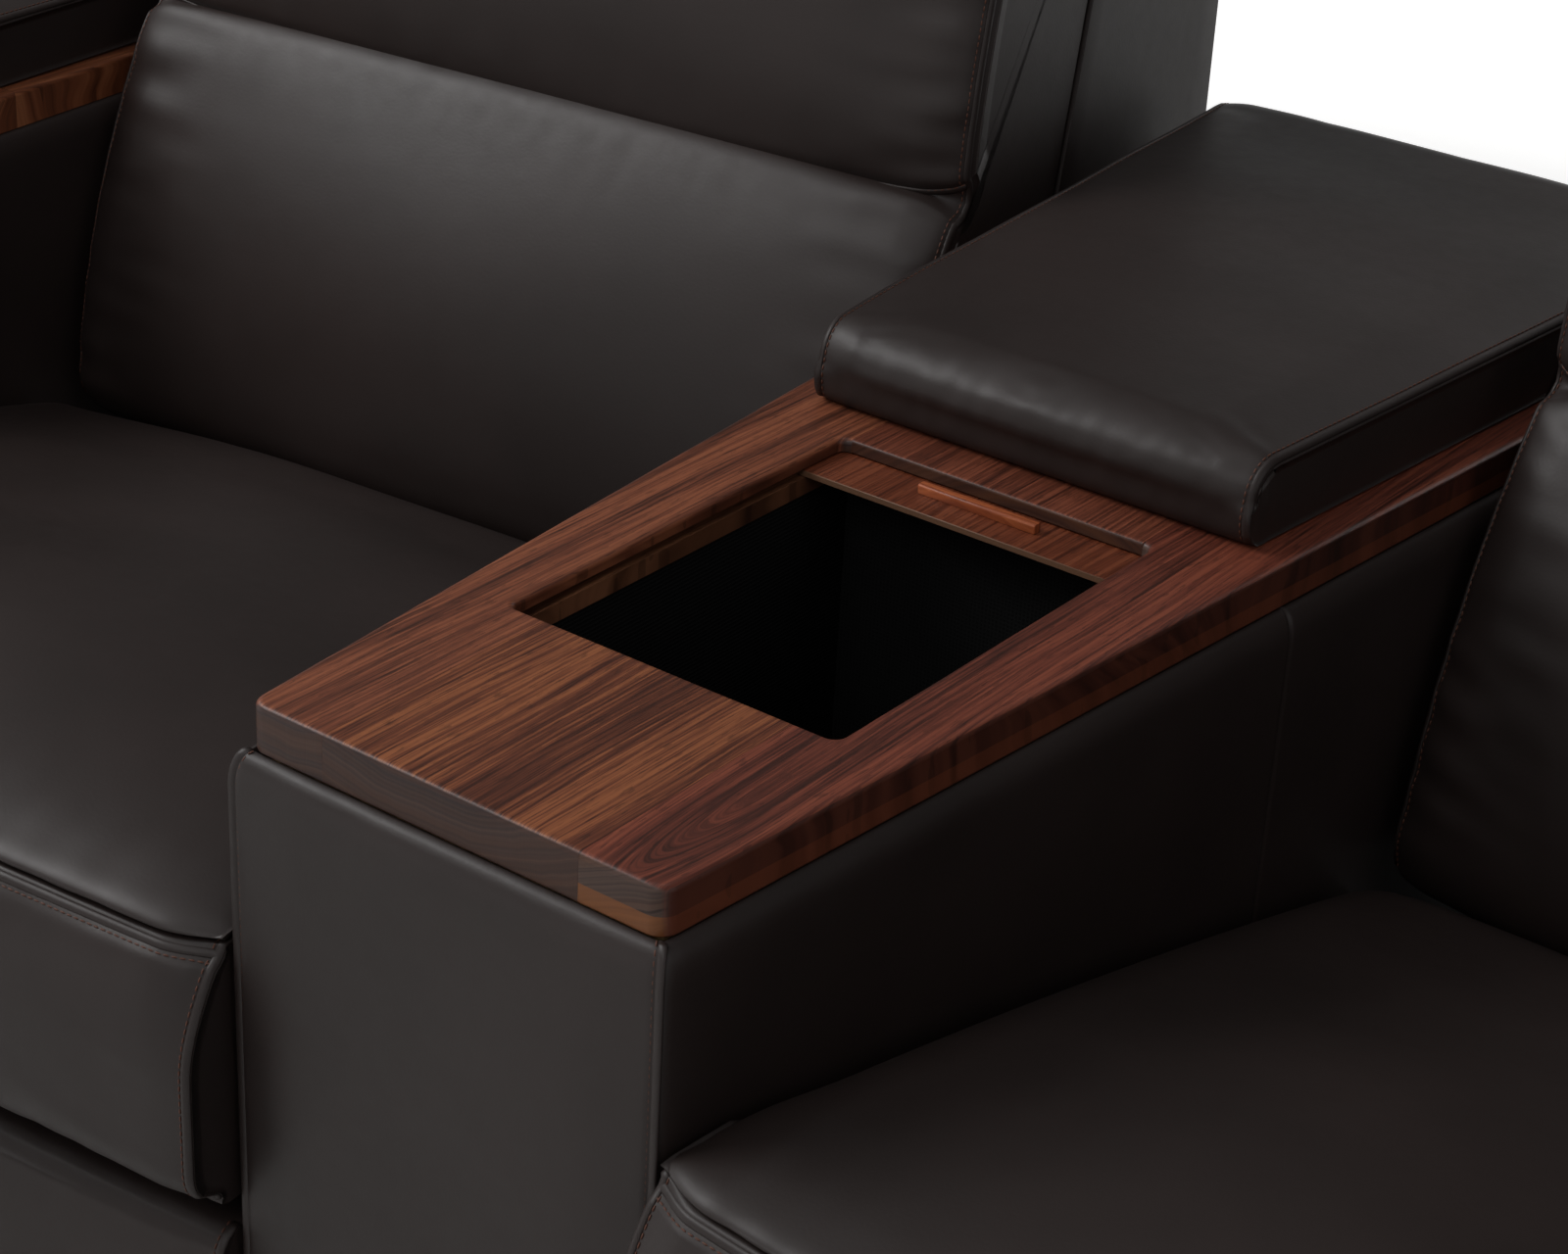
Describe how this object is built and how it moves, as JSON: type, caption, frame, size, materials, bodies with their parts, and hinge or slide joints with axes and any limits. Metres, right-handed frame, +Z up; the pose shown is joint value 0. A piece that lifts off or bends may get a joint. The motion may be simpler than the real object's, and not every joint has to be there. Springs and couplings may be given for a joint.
{
  "type": "sectional sofa",
  "caption": "Reclining leather sofa section with a wedge-shaped walnut-topped storage console between two seats, padded end arms, leg rests and a sliding lid.",
  "frame": {"origin": "on the floor below the middle of the row's overall box", "axes": "+Z up, the row runs along X, and the seats face -Y"},
  "size_m": [2.0504, 1.074, 1.008],
  "materials": {
    "walnut": "satin",
    "walnut_dark": "satin",
    "pull_wood": "satin",
    "leather": "satin",
    "bin_lining": "matte",
    "plywood": "matte",
    "frame_steel": "satin",
    "spring_steel": "satin",
    "switch_metal": "satin",
    "black_plastic": "matte"
  },
  "bodies": {
    "base": {"console_frame": "plywood", "console_front_cover": "leather", "console_left_cover": "leather", "console_right_cover": "leather", "console_back_cover": "leather", "top_left_rail": "walnut", "top_right_rail": "walnut", "top_front_boards": "walnut", "top_cross_rail": "walnut", "top_rear_board": "walnut", "lid_runners": "walnut", "storage_bin": "bin_lining", "console_pad": "leather", "console_pad_board": "plywood", "feet": "black_plastic", "left_arm_frame": "plywood", "right_arm_frame": "plywood", "left_arm_cover": "leather", "right_arm_cover": "leather", "left_arm_top": "walnut", "right_arm_top": "walnut", "left_arm_top_rear": "walnut", "right_arm_top_rear": "walnut", "left_arm_pad": "leather", "right_arm_pad": "leather", "left_switch_plate": "switch_metal", "right_switch_plate": "switch_metal", "left_base_frame": "frame_steel", "right_base_frame": "frame_steel", "left_seat_frame": "plywood", "right_seat_frame": "plywood", "left_seat_springs": "spring_steel", "right_seat_springs": "spring_steel", "left_seat_cushion": "leather", "right_seat_cushion": "leather", "left_motors": "black_plastic", "right_motors": "black_plastic"},
    "lid": {"storage_lid": "walnut_dark", "lid_pull": "pull_wood"},
    "right_back": {"right_back_frame": "frame_steel", "right_back_cushion": "leather", "right_back_shell": "leather"},
    "right_legrest": {"right_legrest_board": "plywood", "right_legrest_pads": "leather", "right_legrest_brackets": "frame_steel"},
    "right_drive": {"right_drive_tube": "frame_steel"},
    "right_links": {"right_drive_links": "frame_steel"},
    "right_recline_button": {"right_back_button": "black_plastic"},
    "right_lift_button": {"right_legrest_button": "black_plastic"},
    "left_back": {"left_back_frame": "frame_steel", "left_back_cushion": "leather", "left_back_shell": "leather"},
    "left_legrest": {"left_legrest_board": "plywood", "left_legrest_pads": "leather", "left_legrest_brackets": "frame_steel"},
    "left_drive": {"left_drive_tube": "frame_steel"},
    "left_links": {"left_drive_links": "frame_steel"},
    "left_recline_button": {"left_back_button": "black_plastic"},
    "left_lift_button": {"left_legrest_button": "black_plastic"}
  },
  "joints": [
    {"name": "lid_slide", "type": "slide", "parent": "base", "child": "lid", "axis": [0, 1, 0], "range_m": [-0.232, 0.009]},
    {"name": "right_recline", "type": "hinge", "parent": "base", "child": "right_back", "pos_m": [0.51231, 0.2239, 0.32], "axis": [-0.9966, 0.0828, 0], "range_deg": [0, 28]},
    {"name": "right_lift", "type": "hinge", "parent": "base", "child": "right_legrest", "pos_m": [0.45269, -0.49363, 0.46], "axis": [-0.9966, 0.0828, 0], "range_deg": [0, 88]},
    {"name": "right_drive_turn", "type": "hinge", "parent": "base", "child": "right_drive", "pos_m": [0.47919, -0.17473, 0.256], "axis": [-0.9966, 0.0828, 0], "range_deg": [0, 88]},
    {"name": "right_link_turn", "type": "hinge", "parent": "right_drive", "child": "right_links", "pos_m": [0.48581, -0.095, 0.086], "axis": [-0.9966, 0.0828, 0], "range_deg": [-88, 0]},
    {"name": "right_recline_press", "type": "slide", "parent": "base", "child": "right_recline_button", "axis": [0.9966, -0.0828, 0], "range_m": [0, 0.0015], "stiffness_N_per_m": 400, "springref_m": -0.001},
    {"name": "right_lift_press", "type": "slide", "parent": "base", "child": "right_lift_button", "axis": [0.9966, -0.0828, 0], "range_m": [0, 0.0015], "stiffness_N_per_m": 400, "springref_m": -0.001},
    {"name": "left_recline", "type": "hinge", "parent": "base", "child": "left_back", "pos_m": [-0.51231, 0.2239, 0.32], "axis": [-0.9966, -0.0828, 0], "range_deg": [0, 28]},
    {"name": "left_lift", "type": "hinge", "parent": "base", "child": "left_legrest", "pos_m": [-0.45269, -0.49363, 0.46], "axis": [-0.9966, -0.0828, 0], "range_deg": [0, 88]},
    {"name": "left_drive_turn", "type": "hinge", "parent": "base", "child": "left_drive", "pos_m": [-0.47919, -0.17473, 0.256], "axis": [-0.9966, -0.0828, 0], "range_deg": [0, 88]},
    {"name": "left_link_turn", "type": "hinge", "parent": "left_drive", "child": "left_links", "pos_m": [-0.48581, -0.095, 0.086], "axis": [-0.9966, -0.0828, 0], "range_deg": [-88, 0]},
    {"name": "left_recline_press", "type": "slide", "parent": "base", "child": "left_recline_button", "axis": [-0.9966, -0.0828, 0], "range_m": [0, 0.0015], "stiffness_N_per_m": 400, "springref_m": -0.001},
    {"name": "left_lift_press", "type": "slide", "parent": "base", "child": "left_lift_button", "axis": [-0.9966, -0.0828, 0], "range_m": [0, 0.0015], "stiffness_N_per_m": 400, "springref_m": -0.001}
  ],
  "couplings": [
    {"joint": "right_drive_turn", "follows": "right_lift", "ratio": 1},
    {"joint": "right_link_turn", "follows": "right_lift", "ratio": -1},
    {"joint": "left_drive_turn", "follows": "left_lift", "ratio": 1},
    {"joint": "left_link_turn", "follows": "left_lift", "ratio": -1}
  ]
}
